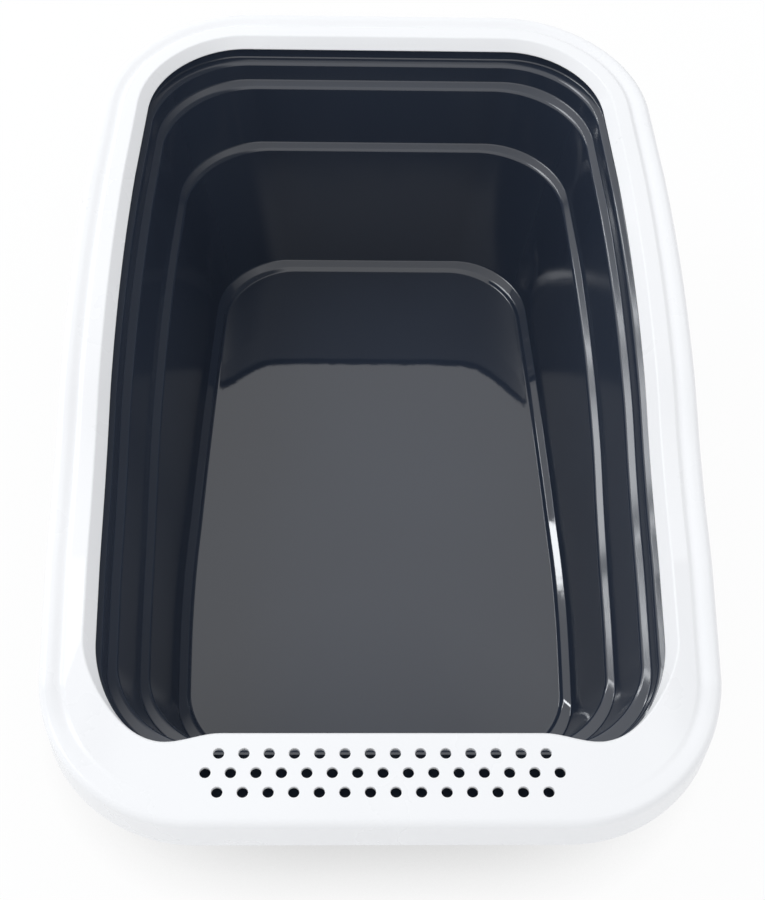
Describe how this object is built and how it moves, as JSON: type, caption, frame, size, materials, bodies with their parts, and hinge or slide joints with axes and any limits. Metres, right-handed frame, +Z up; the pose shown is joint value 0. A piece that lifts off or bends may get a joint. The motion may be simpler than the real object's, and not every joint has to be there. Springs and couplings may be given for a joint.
{
  "type": "low litter tray",
  "caption": "Low litter tray with a deep stepped basin, a raised back and a lift-off rim whose low front apron has rows of small round holes.",
  "frame": {"origin": "on the ground, under the middle of the tray's length and width", "axes": "+Z up; +Y from the low front apron to the high back; +X to the right of someone who stands behind the tray's front and looks at its back"},
  "size_m": [0.4008, 0.6018, 0.1972],
  "materials": {
    "basin": "glossy dark blue-grey",
    "rim": "satin white"
  },
  "bodies": {
    "tray": {"basin": "basin"},
    "rim": {"rim": "rim"}
  },
  "joints": [
    {"name": "rim_lift", "type": "slide", "parent": "tray", "child": "rim", "axis": [0, 0, 1], "range_m": [0, 0.12]}
  ]
}
